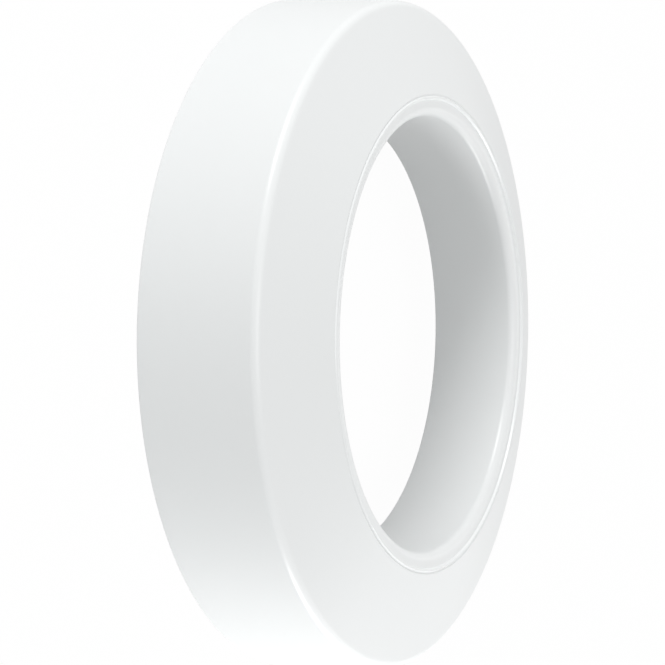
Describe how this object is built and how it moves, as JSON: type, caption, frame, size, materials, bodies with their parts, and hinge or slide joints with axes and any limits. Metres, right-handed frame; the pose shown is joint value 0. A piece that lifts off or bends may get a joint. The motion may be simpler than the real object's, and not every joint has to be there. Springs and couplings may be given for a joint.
{
  "type": "wc pan connector cover ring",
  "caption": "White plastic cover ring for a WC pan connector: a deep skirt, a sloping front face and a round collar that slides over a soil pipe to hide the hole round it.",
  "frame": {"origin": "middle of the flat back rim, in the plane that lies against the wall or floor", "axes": "+Z along the pipe's axis, out of the front face"},
  "size_m": [0.18, 0.18, 0.038],
  "materials": {
    "cover_ring": "moulded white gloss plastic"
  },
  "bodies": {
    "root": {"cover_ring": "cover_ring"}
  },
  "joints": []
}
